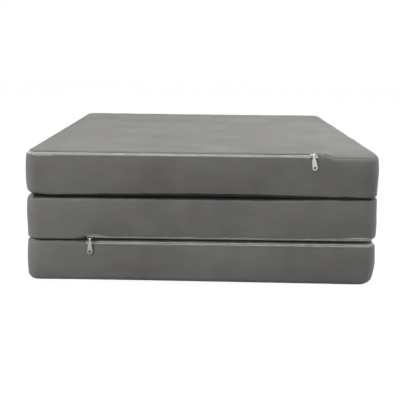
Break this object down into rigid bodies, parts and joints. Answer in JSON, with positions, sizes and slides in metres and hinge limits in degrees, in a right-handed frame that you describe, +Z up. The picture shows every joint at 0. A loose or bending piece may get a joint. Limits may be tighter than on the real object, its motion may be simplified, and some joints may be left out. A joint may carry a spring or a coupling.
{
  "type": "folding mattress",
  "caption": "Folded three-section foam mattress with zip-off covers, stacked in a Z fold and hinged by cloth strips so it opens flat.",
  "frame": {"origin": "on the floor, under the middle of the folded stack", "axes": "+Z up through the stack, -Y towards the front face with the long zips, +X to the right seen from the front"},
  "size_m": [0.6365, 0.6365, 0.2411],
  "materials": {
    "cloth": "short-pile brushed polyester, matt with a soft sheen",
    "foam": "open-cell polyurethane foam",
    "tape": "woven polyester tape",
    "coil": "nylon monofilament coil, satin",
    "metal": "nickel-plated die casting and stamping"
  },
  "bodies": {
    "bottom_section": {"bottom_foam_core": "foam", "bottom_cover_plain_panel": "cloth", "bottom_cover_zip_panel": "cloth", "bottom_cover_border": "cloth", "bottom_zip_tape_panel_side": "tape", "bottom_zip_tape_border_side": "tape", "bottom_zip_coil_panel_side": "coil", "bottom_zip_coil_border_side": "coil", "bottom_zip_stop_panel_side": "metal", "bottom_zip_stop_border_side": "metal", "bottom_zip_end_stop": "metal", "hinge_strip_back": "cloth"},
    "bottom_slider": {"bottom_zip_slider": "metal"},
    "bottom_pull": {"bottom_zip_pull": "metal"},
    "middle_section": {"middle_foam_core": "foam", "middle_cover_plain_panel": "cloth", "middle_cover_zip_panel": "cloth", "middle_cover_border": "cloth", "middle_zip_tape_panel_side": "tape", "middle_zip_tape_border_side": "tape", "middle_zip_coil_panel_side": "coil", "middle_zip_coil_border_side": "coil", "middle_zip_stop_panel_side": "metal", "middle_zip_stop_border_side": "metal", "middle_zip_end_stop": "metal", "hinge_strip_front": "cloth"},
    "middle_slider": {"middle_zip_slider": "metal"},
    "middle_pull": {"middle_zip_pull": "metal"},
    "top_section": {"top_foam_core": "foam", "top_cover_plain_panel": "cloth", "top_cover_zip_panel": "cloth", "top_cover_border": "cloth", "top_zip_tape_panel_side": "tape", "top_zip_tape_border_side": "tape", "top_zip_coil_panel_side": "coil", "top_zip_coil_border_side": "coil", "top_zip_stop_panel_side": "metal", "top_zip_stop_border_side": "metal", "top_zip_end_stop": "metal"},
    "top_slider": {"top_zip_slider": "metal"},
    "top_pull": {"top_zip_pull": "metal"}
  },
  "joints": [
    {"name": "middle_fold", "type": "hinge", "parent": "bottom_section", "child": "middle_section", "pos_m": [0, 0.32, 0.07945], "axis": [-1, 0, 0], "range_deg": [0, 180], "deforming": ["hinge_strip_back"]},
    {"name": "top_fold", "type": "hinge", "parent": "middle_section", "child": "top_section", "pos_m": [0, -0.32, 0.16035], "axis": [1, 0, 0], "range_deg": [0, 180], "deforming": ["hinge_strip_front"]},
    {"name": "bottom_zip_slide", "type": "slide", "parent": "bottom_section", "child": "bottom_slider", "axis": [0, -1, 0], "range_m": [0, 0.534], "deforming": ["bottom_zip_coil_panel_side", "bottom_zip_coil_border_side"]},
    {"name": "bottom_pull_swing", "type": "hinge", "parent": "bottom_slider", "child": "bottom_pull", "pos_m": [0.31581, 0.24895, 0.07731], "axis": [0, -1, 0], "range_deg": [0, 150]},
    {"name": "middle_zip_slide", "type": "slide", "parent": "middle_section", "child": "middle_slider", "axis": [1, 0, 0], "range_m": [0, 0.484], "deforming": ["middle_zip_coil_panel_side", "middle_zip_coil_border_side"]},
    {"name": "middle_pull_swing", "type": "hinge", "parent": "middle_slider", "child": "middle_pull", "pos_m": [-0.19985, -0.31581, 0.08159], "axis": [1, 0, 0], "range_deg": [-95, 0]},
    {"name": "top_zip_slide", "type": "slide", "parent": "top_section", "child": "top_slider", "axis": [-1, 0, 0], "range_m": [0, 0.48], "deforming": ["top_zip_coil_panel_side", "top_zip_coil_border_side"]},
    {"name": "top_pull_swing", "type": "hinge", "parent": "top_slider", "child": "top_pull", "pos_m": [0.19595, -0.31581, 0.23911], "axis": [-1, 0, 0], "range_deg": [0, 190]}
  ]
}
